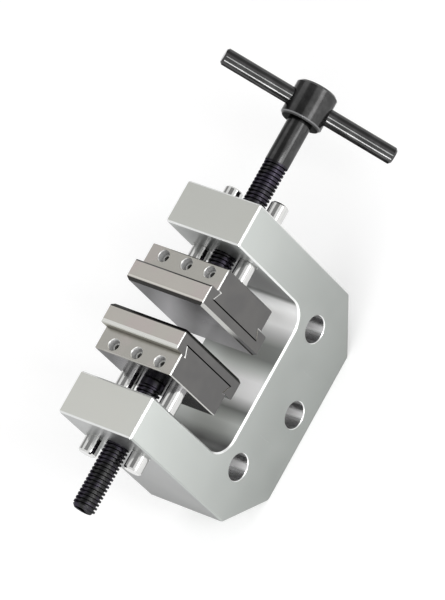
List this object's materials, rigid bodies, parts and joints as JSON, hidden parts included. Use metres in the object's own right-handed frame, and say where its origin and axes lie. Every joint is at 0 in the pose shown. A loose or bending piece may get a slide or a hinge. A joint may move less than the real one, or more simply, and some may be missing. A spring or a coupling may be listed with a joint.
{
  "type": "tensile test grip",
  "caption": "Vice-type tensile test grip: C-shaped frame with opposed clamp screws that push flat jaw plates together on guide pins to hold a specimen.",
  "frame": {"origin": "centre of the frame's flat back face, on the surface that it lies on", "axes": "+X along the clamp screws, towards the screw with the cross bar; +Y through the frame's thickness; +Z from the back face towards the open ends of the arms, which is the pull direction"},
  "size_m": [0.237, 0.0732, 0.1306],
  "materials": {
    "frame_metal": "satin milled",
    "jaw_steel": "ground, plated",
    "pin_chrome": "polished",
    "screw_black": "black oxide, semi-gloss",
    "detent_steel": "bright",
    "cushion_rubber": "matt"
  },
  "bodies": {
    "frame": {"c_frame": "frame_metal"},
    "right_jaw": {"right_carrier": "jaw_steel", "right_jaw_plate": "jaw_steel", "right_screw_retainer": "screw_black", "right_detent_sleeve": "detent_steel", "right_detent_plunger": "detent_steel", "right_detent_cushion": "cushion_rubber", "right_guide_pin_front": "pin_chrome", "right_pin_screw_front": "screw_black", "right_guide_pin_back": "pin_chrome", "right_pin_screw_back": "screw_black"},
    "left_jaw": {"left_carrier": "jaw_steel", "left_jaw_plate": "jaw_steel", "left_screw_retainer": "screw_black", "left_detent_sleeve": "detent_steel", "left_detent_plunger": "detent_steel", "left_detent_cushion": "cushion_rubber", "left_guide_pin_front": "pin_chrome", "left_pin_screw_front": "screw_black", "left_guide_pin_back": "pin_chrome", "left_pin_screw_back": "screw_black"},
    "right_screw": {"right_clamp_screw": "screw_black", "cross_bar": "screw_black"},
    "left_screw": {"left_clamp_screw": "screw_black"}
  },
  "joints": [
    {"name": "right_jaw_slide", "type": "slide", "parent": "frame", "child": "right_jaw", "axis": [1, 0, 0], "range_m": [-0.007, 0.012]},
    {"name": "left_jaw_slide", "type": "slide", "parent": "frame", "child": "left_jaw", "axis": [-1, 0, 0], "range_m": [-0.0059, 0.0131]},
    {"name": "right_screw_turn", "type": "hinge", "parent": "right_jaw", "child": "right_screw", "pos_m": [0.1, 0, 0.094], "axis": [1, 0, 0], "range_deg": [-1261, 2161]},
    {"name": "left_screw_turn", "type": "hinge", "parent": "left_jaw", "child": "left_screw", "pos_m": [-0.08, 0, 0.094], "axis": [-1, 0, 0], "range_deg": [-1063, 2359]}
  ],
  "couplings": [
    {"joint": "right_screw_turn", "follows": "right_jaw_slide", "rad_per_m": 3141.6},
    {"joint": "left_screw_turn", "follows": "left_jaw_slide", "rad_per_m": 3141.6}
  ]
}
